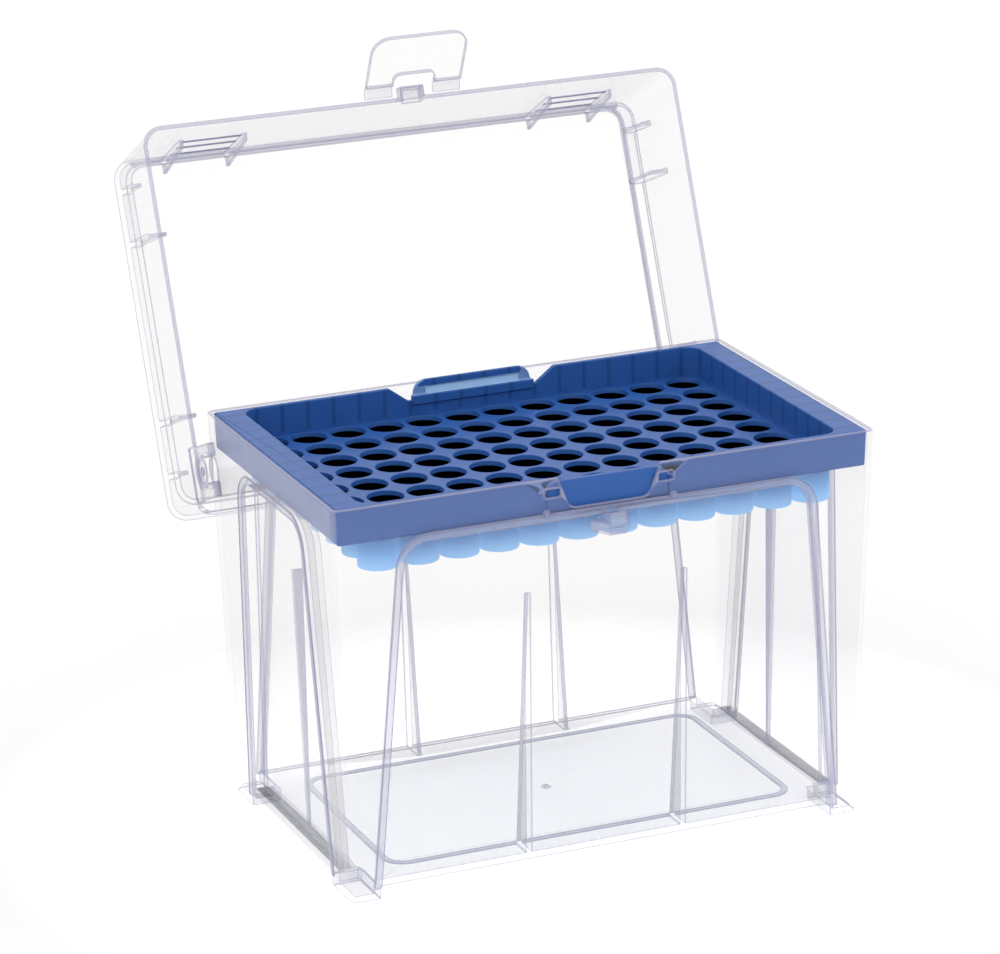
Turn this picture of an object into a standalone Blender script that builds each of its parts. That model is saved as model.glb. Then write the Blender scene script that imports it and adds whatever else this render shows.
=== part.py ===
"""Hinged storage box for 200 microlitre pipette tips: a clear base, a blue 96-hole tray, a clear lid and its latch.

Three mouldings make the object. The clear base stands on four hollow corner feet. The blue tray drops into it
and rests on the shelf that the base's recessed panels form inside. The clear lid clips onto two stub pins on the
base's ends, and carries its latch flap on two thin straps. The model is made with the lid open.

Units are metres, +Z is up, +X runs along the long side, and the latch faces -Y. Lengths below are written in
millimetres and turned into metres by MM. The base is modelled about its own centre, and the whole object is then
moved along Y so that the origin lies under the middle of its footprint with the lid open.
"""
import math

import bmesh
import bpy
from mathutils import Matrix, Vector

MM = 0.001
GAP = 0.3 * MM                     # between solids that touch on the real object
PAST = 2.0 * MM                    # how far a cutter runs past the face it opens

# Tip grid: the laboratory standard for 96 places
PITCH = 9.0 * MM
COLUMNS = 12
ROWS = 8
HOLE_RADIUS = 3.95 * MM
TUBE_WALL = 0.4 * MM
TUBE_SIDES = 8

# Base
BASE_WIDTH = 123.6 * MM            # at the rim
BASE_DEPTH = 76.8 * MM
BASE_HEIGHT = 87.8 * MM
BASE_WALL = 1.0 * MM
BASE_DRAFT = 0.030                 # how much each wall leans in, per unit of height
BASE_CORNER = 1.8 * MM
FOOT_HEIGHT = 2.6 * MM
FOOT_WIDTH = 6.6 * MM              # along X
FOOT_DEPTH = 11.4 * MM             # along Y
PANEL_SPLAY = 0.085                # how much a panel widens on each side, per unit of height down
PANEL_SHOULDER = 5.0 * MM
LONG_RECESS = 1.0 * MM             # depth of the front and back panels at their top
END_RECESS = 3.2 * MM              # depth of the end panels at their top
PANEL_DRAFT = 0.027

# Ribs inside the base
RIB = 1.0 * MM
GUSSET_SPACING = 36.0 * MM
GUSSET_DROP = 25.2 * MM            # from the rim to the ribs' tops
GUSSET_FOOT = 6.3 * MM             # how far a gusset stands in from its wall at the floor
GUSSET_TIP = 1.0 * MM
END_RIB_DEPTH = 2.2 * MM

# Finger notches in the base's rim, and the two small windows beside the front one
NOTCH_TOP = 23.6 * MM
NOTCH_BOTTOM = 18.0 * MM
NOTCH_DEPTH = 7.0 * MM
NOTCH_CORNER = 1.6 * MM
WINDOW = (3.4 * MM, 2.2 * MM)
WINDOW_X = 12.9 * MM
WINDOW_DROP = 3.3 * MM             # from the rim to the window's middle

# Stub pins and the catch
PIN_RADIUS = 3.6 * MM
PIN_LENGTH = 2.3 * MM
PIN_INSET = 2.8 * MM               # the hinge axis from the base's back face
PIN_DROP = 12.8 * MM               # the hinge axis from the rim
CATCH_DROP = 8.0 * MM              # from the rim to the catch's top
CATCH_HEIGHT = 5.9 * MM
CATCH_REACH = 3.9 * MM
CATCH_ROOT = 9.0 * MM
CATCH_NOSE = 3.8 * MM
CATCH_NECK = 2.4 * MM              # height of the narrow top that enters the lid's pocket

# Tray
TRAY_PLAY = 0.4 * MM               # all round, between tray and base
TRAY_DROP = 0.2 * MM               # tray's top below the base's rim
TRAY_HEIGHT = 8.0 * MM
TRAY_WALL = 1.0 * MM
WELL_DEPTH = 7.0 * MM              # from the tray's top to the plate
WELL_MARGIN = 0.9 * MM             # from the outermost holes' pitch square to the well's end wall
WELL_CORNER = 3.6 * MM
PLATE = 1.2 * MM
TUBE_LENGTH = 8.1 * MM             # from the plate's top to the tubes' lower ends
DIP_TOP = 39.6 * MM
DIP_BOTTOM = 30.4 * MM
DIP_DEPTH = 3.4 * MM
GRIP_WIDTH = 28.0 * MM
GRIP_RISE = (-1.1 * MM, 1.0 * MM)  # front and back grip's top above the tray's top
GRIP_WALL = 0.8 * MM
GRIP_CORNER = 3.0 * MM

# Lid, in its closed position
LID_WALL = 1.0 * MM
LID_END_PLAY = 1.4 * MM            # from the base's ends to the lid's inner faces
LID_FRONT_PLAY = 1.55 * MM         # from the base's front to the lid's front inner face
LID_REAR_PLAY = 5.55 * MM          # behind the base, where the lid swings down
LID_RIM = 3.0 * MM                 # lower edge of the lid above the hinge axis
LID_HEIGHT = 27.2 * MM
LID_CORNER = 4.5 * MM
LID_END_DRAFT = 0.008
LID_FRONT_DRAFT = 0.136
LID_REAR_DRAFT = 0.017
LID_STEP_IN = 2.0 * MM             # the raised panel on the lid's top
LID_STEP_UP = 0.8 * MM
REAR_CUT = 6.9 * MM                # how much shorter the lid's back skirt is
REAR_CUT_CORNER = 4.0 * MM
LID_OPEN = math.radians(111.9)

# Snap forks on the lid's ends
PIN_PLAY = 0.35 * MM
FORK_LENGTH = 7.0 * MM             # below the hinge axis
FORK_FRONT = 5.7 * MM
FORK_BACK = 6.2 * MM
FORK_MOUTH = 5.4 * MM
FORK_RISE = 3.0 * MM               # above the lid's lower edge

# Ribs inside the lid
LID_RIB = 1.0 * MM
LID_RIB_CLEAR = 0.8 * MM           # above the base's rim
FRONT_RIB_X = (37.0 * MM, 52.0 * MM)
FRONT_RIB = (1.8 * MM, 3.2 * MM)   # depth at its lower end and under the top
END_RIB_Y = 20.3 * MM              # from the lid's middle
END_RIB = (4.4 * MM, 3.0 * MM)
SHORT_RIB_Y = 32.3 * MM
SHORT_RIB = (2.0 * MM, 2.4 * MM)
SHORT_RIB_RISE = 5.0 * MM          # how much higher the short ribs start

# Pocket in the lid's front for the catch, latch flap and its straps
POCKET_WALL = 0.6 * MM
POCKET_PLAY = 0.4 * MM
FLAP_WIDTH = 23.0 * MM
FLAP_LENGTH = 13.6 * MM
FLAP_THICKNESS = 1.1 * MM
FLAP_CORNER = 4.2 * MM
FLAP_REACH = 1.5 * MM              # flap's axis in front of the lid's face
FLAP_ANGLE = math.radians(43.1)    # from its latched direction, as the open lid carries it
SLOT_WIDTH = 9.6 * MM
SLOT_DEPTH = 2.9 * MM
SLOT_CORNER = 1.4 * MM
STRAP_LENGTH = 3.2 * MM
STRAP_THICKNESS = 0.35 * MM

# Values worked out from the sizes above
HALF_X = BASE_WIDTH / 2
HALF_Y = BASE_DEPTH / 2
TRAY_TOP = BASE_HEIGHT - TRAY_DROP
PANEL_TOP = TRAY_TOP - TRAY_HEIGHT - GAP - BASE_WALL      # the panels' tops carry the tray's apron inside
GUSSET_TOP = BASE_HEIGHT - GUSSET_DROP
PLATE_TOP = TRAY_TOP - WELL_DEPTH
WELL_X = COLUMNS * PITCH / 2 + WELL_MARGIN - 0.5 * MM
AXIS_Y = HALF_Y - PIN_INSET
AXIS_Z = BASE_HEIGHT - PIN_DROP
LID_X = HALF_X + LID_END_PLAY + LID_WALL
LID_FRONT = -HALF_Y - LID_FRONT_PLAY - LID_WALL
LID_BACK = HALF_Y + LID_REAR_PLAY + LID_WALL
LID_BOTTOM = AXIS_Z + LID_RIM
LID_TOP = LID_BOTTOM + LID_HEIGHT
FLAP_AXIS_Y = LID_FRONT - FLAP_REACH
FLAP_AXIS_Z = LID_BOTTOM
CATCH_TOP = BASE_HEIGHT - CATCH_DROP


def fresh_scene():
    for old in list(bpy.data.objects):
        bpy.data.objects.remove(old, do_unlink=True)
    made = []
    for name in ("tip_box", "tip_box_tools"):
        collection = bpy.data.collections.new(name)
        bpy.context.scene.collection.children.link(collection)
        made.append(collection)
    return made


PARTS, TOOLS = fresh_scene()


def material(name, colour, roughness, transmission=0.0):
    made = bpy.data.materials.new(name)
    made.use_nodes = True
    shader = made.node_tree.nodes["Principled BSDF"]
    shader.inputs["Base Color"].default_value = (*colour, 1.0)
    shader.inputs["Roughness"].default_value = roughness
    shader.inputs["Metallic"].default_value = 0.0
    shader.inputs["Transmission Weight"].default_value = transmission
    made.diffuse_color = (*colour, 1.0 - 0.7 * transmission)
    return made


def new_object(name, bm, collection):
    mesh = bpy.data.meshes.new(name)
    bm.to_mesh(mesh)
    bm.free()
    made = bpy.data.objects.new(name, mesh)
    collection.objects.link(made)
    if collection == TOOLS:
        made.hide_render = True
        made.display_type = "WIRE"
    return made


def block(name, place, collection=TOOLS, rounded=None, radius=0.0, segments=4):
    """A cube whose corner (sx, sy, sz), each -1 or 1, goes to place(sx, sy, sz), with chosen edges rounded."""
    bm = bmesh.new()
    bmesh.ops.create_cube(bm, size=2.0)
    signs = {v: tuple(int(round(c)) for c in v.co) for v in bm.verts}
    edges = [e for e in bm.edges if rounded and rounded(signs[e.verts[0]], signs[e.verts[1]])]
    for corner, sign in signs.items():
        corner.co = Vector(place(*sign))
    if edges:
        bmesh.ops.bevel(bm, geom=edges, offset=radius, segments=segments, profile=0.5, affect="EDGES")
    bmesh.ops.recalc_face_normals(bm, faces=bm.faces)
    return new_object(name, bm, collection)


def box(name, low, high, collection=TOOLS, rounded=None, radius=0.0):
    def place(sx, sy, sz):
        return [high[i] if s > 0 else low[i] for i, s in enumerate((sx, sy, sz))]
    return block(name, place, collection, rounded, radius)


def upright_edges(one, other):
    return one[:2] == other[:2]


def top_corners_along_y(one, other):
    return one[0] == other[0] and one[2] == other[2] == 1


def top_corners_along_x(one, other):
    return one[1] == other[1] and one[2] == other[2] == 1


def bottom_corners_along_y(one, other):
    return one[0] == other[0] and one[2] == other[2] == -1


def boolean(target, tool, operation):
    modifier = target.modifiers.new(f"{operation.lower()} {tool.name}", "BOOLEAN")
    modifier.operation = operation
    modifier.object = tool
    modifier.solver = "EXACT"


def cut(target, *tools):
    for tool in tools:
        boolean(target, tool, "DIFFERENCE")


def join(target, *tools):
    for tool in tools:
        boolean(target, tool, "UNION")


def cylinder_x(name, centre_y, centre_z, low_x, high_x, radius, sides=24, collection=TOOLS):
    bm = bmesh.new()
    middle = Vector(((low_x + high_x) / 2, centre_y, centre_z))
    turn = Matrix.Translation(middle) @ Matrix.Rotation(math.pi / 2, 4, "Y")
    bmesh.ops.create_cone(bm, cap_ends=True, segments=sides, radius1=radius, radius2=radius,
                          depth=high_x - low_x, matrix=turn)
    return new_object(name, bm, collection)


def finish(made, finish_material):
    made.data.materials.clear()
    made.data.materials.append(finish_material)


# Base

def base_half(half, z):
    """Half the base's outer width or depth at a height: its walls lean in towards the feet."""
    return half - BASE_DRAFT * (BASE_HEIGHT - z)


def panel_half(half, foot, recess, z):
    """Half the distance between a pair of opposite recessed panels at a height."""
    return base_half(half, PANEL_TOP) - recess - PANEL_DRAFT * (PANEL_TOP - z)


def base_form(name, inset, top, collection):
    """The base's outer form, or with an inset the space inside its walls."""
    def place(sx, sy, sz):
        z = top if sz > 0 else inset
        return (sx * (base_half(HALF_X, z) - inset), sy * (base_half(HALF_Y, z) - inset), z)

    form = block(name, place, collection, upright_edges, BASE_CORNER - inset, 4)
    foot_x = base_half(HALF_X, 0) - FOOT_WIDTH
    foot_y = base_half(HALF_Y, 0) - FOOT_DEPTH
    for side in (-1, 1):
        cut(form, long_panel(f"{name}_long_panel_{side}", side, inset, foot_x))
        cut(form, end_panel(f"{name}_end_panel_{side}", side, inset, foot_y))
    far = HALF_X + PAST
    for word, x, y in (("long", foot_x + inset, far), ("end", far, foot_y + inset)):
        cut(form, box(f"{name}_under_{word}", (-x, -y, -PAST), (x, y, FOOT_HEIGHT + inset)))
    return form


def long_panel(name, side, inset, foot_x):
    """Cutter for the front or back recess: an arch that widens downwards."""
    high = PANEL_TOP + inset

    def place(sx, sy, sz):
        z = high if sz > 0 else -PAST
        half = foot_x + inset - PANEL_SPLAY * z
        depth = panel_half(HALF_Y, FOOT_DEPTH, LONG_RECESS, z) - inset if sy * side < 0 else HALF_Y + PAST
        return (sx * half, side * depth, z)

    return block(name, place, TOOLS, top_corners_along_y, PANEL_SHOULDER + inset, 4)


def end_panel(name, side, inset, foot_y):
    """Cutter for a recess in one end: the same arch on a narrower wall."""
    high = PANEL_TOP + inset

    def place(sx, sy, sz):
        z = high if sz > 0 else -PAST
        half = foot_y + inset - PANEL_SPLAY * z
        depth = panel_half(HALF_X, FOOT_WIDTH, END_RECESS, z) - inset if sx * side < 0 else HALF_X + PAST
        return (side * depth, sy * half, z)

    return block(name, place, TOOLS, top_corners_along_x, PANEL_SHOULDER + inset, 4)


def gusset(name, side, x):
    """Upright rib on the inside of a long wall, wide at the floor and narrow at its top."""
    floor = FOOT_HEIGHT + BASE_WALL

    def place(sx, sy, sz):
        z = GUSSET_TOP if sz > 0 else floor - BASE_WALL / 2
        wall = panel_half(HALF_Y, FOOT_DEPTH, LONG_RECESS, z) - BASE_WALL
        stand = GUSSET_TIP if sz > 0 else GUSSET_FOOT
        return (x + sx * RIB / 2, side * (wall + BASE_WALL / 2 if sy * side > 0 else wall - stand), z)

    return block(name, place)


def end_rib(name, side):
    """Upright rib on the inside of an end wall, with its free edge parallel to the base's middle."""
    floor = FOOT_HEIGHT + BASE_WALL

    def place(sx, sy, sz):
        z = GUSSET_TOP if sz > 0 else floor - BASE_WALL / 2
        wall = panel_half(HALF_X, FOOT_WIDTH, END_RECESS, z) - BASE_WALL
        free = panel_half(HALF_X, FOOT_WIDTH, END_RECESS, GUSSET_TOP) - BASE_WALL - END_RIB_DEPTH
        return (side * (wall + BASE_WALL / 2 if sx * side > 0 else free), sy * RIB / 2, z)

    return block(name, place)


def notch():
    """Cutter for the finger notch in the rim of the front wall."""
    inner = HALF_Y - BASE_WALL - 2 * MM

    def place(sx, sy, sz):
        half = (NOTCH_TOP if sz > 0 else NOTCH_BOTTOM) / 2
        if sz > 0:
            half += (NOTCH_TOP - NOTCH_BOTTOM) / 2 * PAST / NOTCH_DEPTH
        z = BASE_HEIGHT + PAST if sz > 0 else BASE_HEIGHT - NOTCH_DEPTH
        return (sx * half, -HALF_Y - PAST if sy < 0 else -inner, z)

    return block("front_notch", place, TOOLS, bottom_corners_along_y, NOTCH_CORNER, 3)


def make_base(clear):
    base = base_form("base_box", 0.0, BASE_HEIGHT, PARTS)
    cut(base, base_form("base_inside", BASE_WALL, BASE_HEIGHT + PAST, TOOLS))
    cut(base, notch())
    for side in (-1, 1):
        for x in (-GUSSET_SPACING / 2, GUSSET_SPACING / 2):
            join(base, gusset(f"gusset_{side}_{x / MM:.0f}", side, x))
        join(base, end_rib(f"end_rib_{side}", side))
        middle = (side * WINDOW_X, -HALF_Y, BASE_HEIGHT - WINDOW_DROP)
        half = Vector((WINDOW[0] / 2, BASE_WALL + PAST, WINDOW[1] / 2))
        cut(base, box(f"window_{side}", Vector(middle) - half, Vector(middle) + half))
    finish(base, clear)
    return base


def make_pins(clear):
    """The stub pins that the lid turns on, one on each end wall."""
    made = []
    for side, word in ((-1, "left"), (1, "right")):
        start = base_half(HALF_X, AXIS_Z + PIN_RADIUS) + GAP
        ends = sorted((side * start, side * (start + PIN_LENGTH)))
        pin = cylinder_x(f"hinge_pin_{word}", AXIS_Y, AXIS_Z, *ends, PIN_RADIUS, 24, PARTS)
        finish(pin, clear)
        made.append(pin)
    return made


def make_catch(clear):
    """The catch on the base's front: a narrow top for the lid's pocket over a wedge that the flap hooks."""
    root = -base_half(HALF_Y, CATCH_TOP) - GAP
    nose = root - CATCH_REACH
    neck = CATCH_TOP - CATCH_NECK

    def place(sx, sy, sz):
        half = CATCH_NOSE / 2 if sy < 0 else CATCH_ROOT / 2
        return (sx * half, nose if sy < 0 else root, neck if sz > 0 else CATCH_TOP - CATCH_HEIGHT)

    catch = block("latch_catch", place, PARTS)
    join(catch, box("catch_neck", (-CATCH_NOSE / 2, nose, neck - CATCH_NECK / 2),
                    (CATCH_NOSE / 2, root, CATCH_TOP)))
    finish(catch, clear)
    return catch


# Tray

def tray_half(half, z):
    return base_half(half, z) - BASE_WALL - TRAY_PLAY


def make_tray_frame(blue):
    bottom = TRAY_TOP - TRAY_HEIGHT

    def place(sx, sy, sz):
        z = TRAY_TOP if sz > 0 else bottom
        return (sx * tray_half(HALF_X, z), sy * tray_half(HALF_Y, z), z)

    frame = block("tray_frame", place, PARTS, upright_edges, BASE_CORNER - BASE_WALL - TRAY_PLAY, 3)
    well_y = tray_half(HALF_Y, bottom) - TRAY_WALL
    cut(frame, box("tray_well", (-WELL_X, -well_y, bottom - PAST), (WELL_X, well_y, TRAY_TOP + PAST),
                   TOOLS, upright_edges, WELL_CORNER))
    for side, rise in zip((-1, 1), GRIP_RISE):
        near, far = WELL_X + TRAY_WALL, tray_half(HALF_X, bottom) - TRAY_WALL
        xs = sorted((side * near, side * far))
        cut(frame, box(f"tray_hollow_{side}", (xs[0], -well_y, bottom - PAST),
                       (xs[1], well_y, TRAY_TOP - TRAY_WALL)))
        cut(frame, dip(f"tray_dip_{side}", side))
        outer = tray_half(HALF_Y, TRAY_TOP - DIP_DEPTH)
        ys = sorted((side * outer, side * (outer - GRIP_WALL)))
        join(frame, box(f"tray_grip_{side}", (-GRIP_WIDTH / 2, ys[0], TRAY_TOP - DIP_DEPTH - TRAY_WALL),
                        (GRIP_WIDTH / 2, ys[1], TRAY_TOP + rise), TOOLS, top_corners_along_y, GRIP_CORNER))
    finish(frame, blue)
    return frame


def dip(name, side):
    """Cutter for the low stretch in the middle of a long wall of the tray, with sloped shoulders."""
    def place(sx, sy, sz):
        half = (DIP_TOP if sz > 0 else DIP_BOTTOM) / 2
        if sz > 0:
            half += (DIP_TOP - DIP_BOTTOM) / 2 * PAST / DIP_DEPTH
        z = TRAY_TOP + PAST if sz > 0 else TRAY_TOP - DIP_DEPTH
        inner = tray_half(HALF_Y, TRAY_TOP - TRAY_HEIGHT) - TRAY_WALL - PAST
        return (sx * half, side * (HALF_Y + PAST if sy * side > 0 else inner), z)

    return block(name, place)


def rods(name, radius, low, high):
    """One upright rod in each of the 96 places, as a single cutter."""
    bm = bmesh.new()
    for column in range(COLUMNS):
        for row in range(ROWS):
            x = (column - (COLUMNS - 1) / 2) * PITCH
            y = (row - (ROWS - 1) / 2) * PITCH
            at = Matrix.Translation((x, y, (low + high) / 2)) @ Matrix.Rotation(math.pi / TUBE_SIDES, 4, "Z")
            bmesh.ops.create_cone(bm, cap_ends=True, segments=TUBE_SIDES, radius1=radius, radius2=radius,
                                  depth=high - low, matrix=at)
    return new_object(name, bm, TOOLS)


def make_tip_plate(blue):
    well_y = tray_half(HALF_Y, TRAY_TOP - TRAY_HEIGHT) - TRAY_WALL
    plate = box("tip_plate", (-WELL_X + GAP, -well_y + GAP, PLATE_TOP - PLATE),
                (WELL_X - GAP, well_y - GAP, PLATE_TOP), PARTS, upright_edges, WELL_CORNER - GAP)
    ends = PLATE_TOP - TUBE_LENGTH
    join(plate, rods("tubes", HOLE_RADIUS + TUBE_WALL, ends, PLATE_TOP - PLATE / 2))
    cut(plate, rods("holes", HOLE_RADIUS, ends - PAST, PLATE_TOP + PAST))
    finish(plate, blue)
    return plate


# Lid, modelled closed and then opened about the hinge axis

def lid_form(name, inset, bottom, collection):
    """The lid's outer form, or with an inset the space inside it: walls, and a smaller raised panel on top."""
    shoulder = LID_TOP - LID_STEP_UP

    def tier(extra, low, high):
        def place(sx, sy, sz):
            z = high if sz > 0 else low
            up = z - LID_BOTTOM
            x = LID_X - inset - extra - LID_END_DRAFT * up
            front = LID_FRONT + inset + extra + LID_FRONT_DRAFT * up
            back = LID_BACK - inset - extra - LID_REAR_DRAFT * up
            return (sx * x, back if sy > 0 else front, z)
        return place

    form = block(name, tier(0.0, bottom, shoulder - inset), collection, upright_edges, LID_CORNER - inset, 4)
    join(form, block(f"{name}_panel", tier(LID_STEP_IN, shoulder - inset - 1 * MM, LID_TOP - inset), TOOLS,
                     upright_edges, LID_CORNER - inset, 4))
    return form


def lid_rib(name, place_wall, low, depths):
    """Thin rib inside the lid, from a height to the underside of the top, with a depth at each end."""
    def place(sx, sy, sz):
        z = LID_TOP - LID_STEP_UP - LID_WALL / 2 if sz > 0 else low
        return place_wall(sx, sy, z, depths[1] if sz > 0 else depths[0])
    return block(name, place)


def lid_ribs():
    """The ribs stand clear of the base's rim, so that they never meet it as the lid closes."""
    low = BASE_HEIGHT + LID_RIB_CLEAR
    made = []
    for x in [side * place for place in FRONT_RIB_X for side in (-1, 1)]:
        def on_front(sx, sy, z, depth, x=x):
            inner = LID_FRONT + LID_WALL + LID_FRONT_DRAFT * (z - LID_BOTTOM)
            return (x + sx * LID_RIB / 2, inner + (depth if sy > 0 else -LID_WALL / 2), z)
        made.append(lid_rib(f"front_rib_{x / MM:.0f}", on_front, low, FRONT_RIB))
    middle = (LID_FRONT + LID_BACK) / 2
    rows = ((END_RIB_Y, END_RIB, low), (SHORT_RIB_Y, SHORT_RIB, low + SHORT_RIB_RISE))
    for side in (-1, 1):
        for y, depths, start in [(middle + way * row[0], row[1], row[2]) for row in rows for way in (-1, 1)]:
            def on_end(sx, sy, z, depth, side=side, y=y):
                inner = LID_X - LID_WALL - LID_END_DRAFT * (z - LID_BOTTOM)
                return (side * (inner + LID_WALL / 2 if sx * side > 0 else inner - depth), y + sy * LID_RIB / 2, z)
            made.append(lid_rib(f"end_rib_{side}_{y / MM:.0f}", on_end, start, depths))
    return made


def make_lid(clear):
    lid = lid_form("lid", 0.0, LID_BOTTOM, PARTS)
    cut(lid, lid_form("lid_inside", LID_WALL, LID_BOTTOM - PAST, TOOLS))
    cut(lid, rear_cut())
    join(lid, *lid_ribs())
    for side in (-1, 1):
        inner = HALF_X + LID_END_PLAY / 2
        xs = sorted((side * inner, side * LID_X))
        join(lid, box(f"fork_{side}", (xs[0], AXIS_Y - FORK_FRONT, AXIS_Z - FORK_LENGTH),
                      (xs[1], AXIS_Y + FORK_BACK, LID_BOTTOM + FORK_RISE)))
        past = sorted((side * (inner - LID_END_PLAY / 4), side * (LID_X + PAST)))
        cut(lid, cylinder_x(f"fork_eye_{side}", AXIS_Y, AXIS_Z, *past, PIN_RADIUS + PIN_PLAY))
        cut(lid, box(f"fork_mouth_{side}", (past[0], AXIS_Y - FORK_MOUTH / 2, AXIS_Z - FORK_LENGTH - PAST),
                     (past[1], AXIS_Y + FORK_MOUTH / 2, AXIS_Z)))
    pocket_x = CATCH_NOSE / 2 + POCKET_PLAY
    pocket_y = -base_half(HALF_Y, CATCH_TOP) - GAP - CATCH_REACH - POCKET_PLAY
    pocket_z = CATCH_TOP + POCKET_PLAY
    join(lid, box("pocket", (-pocket_x - POCKET_WALL, pocket_y - POCKET_WALL, LID_BOTTOM),
                  (pocket_x + POCKET_WALL, LID_FRONT + LID_WALL / 2, pocket_z + POCKET_WALL)))
    cut(lid, box("pocket_inside", (-pocket_x, pocket_y, LID_BOTTOM - PAST),
                 (pocket_x, LID_FRONT + LID_WALL + PAST, pocket_z)))
    finish(lid, clear)
    return lid


def rear_cut():
    """Cutter that shortens the back skirt, so that the lid swings down behind the base."""
    low, high = LID_BOTTOM - PAST, LID_BOTTOM + REAR_CUT
    start = AXIS_Y + FORK_BACK
    return box("rear_cut", (-LID_X - PAST, start, low), (LID_X + PAST, LID_BACK + PAST, high), TOOLS,
               lambda one, other: one[1:] == other[1:] == (-1, 1), REAR_CUT_CORNER)


def make_flap(clear):
    """The latch flap, hanging straight down from its axis as it does when latched."""
    top = FLAP_AXIS_Z - STRAP_LENGTH / 2
    low, high = FLAP_AXIS_Y - FLAP_THICKNESS / 2, FLAP_AXIS_Y + FLAP_THICKNESS / 2
    flap = box("latch_flap", (-FLAP_WIDTH / 2, low, top - FLAP_LENGTH), (FLAP_WIDTH / 2, high, top), PARTS,
               bottom_corners_along_y, FLAP_CORNER)
    cut(flap, box("flap_slot", (-SLOT_WIDTH / 2, low - PAST, top - SLOT_DEPTH),
                  (SLOT_WIDTH / 2, high + PAST, top + PAST), TOOLS, bottom_corners_along_y, SLOT_CORNER))
    finish(flap, clear)
    return flap


def make_straps(clear):
    """The two thin straps that join flap and lid on either side of the slot, bent as the open lid carries them."""
    width = (FLAP_WIDTH - SLOT_WIDTH) / 2
    half = STRAP_LENGTH / 2 - GAP
    made = []
    for side, word in ((-1, "left"), (1, "right")):
        middle = side * (SLOT_WIDTH + width) / 2
        strap = box(f"flap_strap_{word}",
                    (middle - width / 2, FLAP_AXIS_Y - STRAP_THICKNESS / 2, FLAP_AXIS_Z - half),
                    (middle + width / 2, FLAP_AXIS_Y + STRAP_THICKNESS / 2, FLAP_AXIS_Z + half), PARTS)
        finish(strap, clear)
        made.append(strap)
    return made


def turned(angle, y, z):
    """The turn about an axis along X through (y, z): negative opens the lid."""
    centre = Matrix.Translation((0, y, z))
    return centre @ Matrix.Rotation(angle, 4, "X") @ centre.inverted()


def put_origin(made, point):
    """Moves an object's origin to a point of its own mesh space without moving its shape."""
    made.data.transform(Matrix.Translation(-Vector(point)))
    made.matrix_world = made.matrix_world @ Matrix.Translation(point)


def baked(made):
    """The object's evaluated shape as a plain mesh, so that it can turn without its cutters."""
    bpy.context.view_layer.update()
    evaluated = made.evaluated_get(bpy.context.evaluated_depsgraph_get())
    mesh = bpy.data.meshes.new_from_object(evaluated)
    made.modifiers.clear()
    made.data = mesh


def centre_offset():
    """How far the base's middle stands in front of the middle of the open object's footprint."""
    front = -base_half(HALF_Y, CATCH_TOP) - GAP - CATCH_REACH
    lean = LID_OPEN - math.pi / 2
    reaches = []
    for step, drop in ((0.0, LID_STEP_UP), (LID_STEP_IN, 0.0)):
        up = LID_HEIGHT - drop
        along = AXIS_Y - (LID_FRONT + step + LID_FRONT_DRAFT * up)
        reaches.append(AXIS_Y + along * math.sin(lean) + (LID_RIM + up) * math.cos(lean))
    return -(front + max(reaches)) / 2


def main():
    clear = material("clear_polypropylene", (0.90, 0.91, 0.94), 0.12, 0.85)
    blue = material("blue_polypropylene", (0.03, 0.10, 0.45), 0.30)
    still = [make_base(clear), *make_pins(clear), make_catch(clear), make_tray_frame(blue), make_tip_plate(blue)]
    lid = make_lid(clear)
    flap = make_flap(clear)
    straps = make_straps(clear)
    moving = [lid, flap, *straps]
    for made in moving:
        baked(made)
    opened = turned(-LID_OPEN, AXIS_Y, AXIS_Z)
    lid.matrix_world = opened
    flap.matrix_world = opened @ turned(-FLAP_ANGLE, FLAP_AXIS_Y, FLAP_AXIS_Z)
    strap_angle = math.pi - LID_OPEN
    for strap in straps:
        strap.matrix_world = opened @ turned(-strap_angle, FLAP_AXIS_Y, FLAP_AXIS_Z)
    put_origin(lid, (0, AXIS_Y, AXIS_Z))
    for made in (flap, *straps):
        put_origin(made, (0, FLAP_AXIS_Y, FLAP_AXIS_Z))
    shift = Matrix.Translation((0, centre_offset(), 0))
    bpy.context.view_layer.update()
    for made in (*still, *moving):
        made.matrix_world = shift @ made.matrix_world
    for tool in TOOLS.objects:
        tool.matrix_world = shift @ tool.matrix_world


main()
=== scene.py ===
"""A hinged tip box of clear polypropylene with a blue 96-hole tray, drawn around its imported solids.

Every piece is made in the box's closed position, in millimetres, with Y = 0 in the middle of the
base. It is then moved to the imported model's frame, and the lid and its latch are turned open about
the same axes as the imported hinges.
"""

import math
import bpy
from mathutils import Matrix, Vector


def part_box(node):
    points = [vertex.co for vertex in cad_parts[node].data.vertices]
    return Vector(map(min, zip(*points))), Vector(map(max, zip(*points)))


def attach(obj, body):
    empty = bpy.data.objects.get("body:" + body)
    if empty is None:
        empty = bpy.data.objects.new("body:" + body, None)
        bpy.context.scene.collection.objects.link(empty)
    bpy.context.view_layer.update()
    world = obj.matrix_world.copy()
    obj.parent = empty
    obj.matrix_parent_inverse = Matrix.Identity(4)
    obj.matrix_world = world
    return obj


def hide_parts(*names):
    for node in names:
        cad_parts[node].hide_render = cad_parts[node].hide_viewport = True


bl_info = {
    "name": "Tip Box",
    "version": (1, 0, 0),
    "blender": (4, 5, 0),
    "location": "3D View > Sidebar > Tip Box",
    "description": "Moulded pieces, plastics, light and camera for a hinged box of pipette tips",
    "category": "Add Mesh",
}

import bmesh
import bpy
from bpy.props import FloatProperty, FloatVectorProperty, IntProperty, PointerProperty
from mathutils import Matrix, Vector

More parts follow.
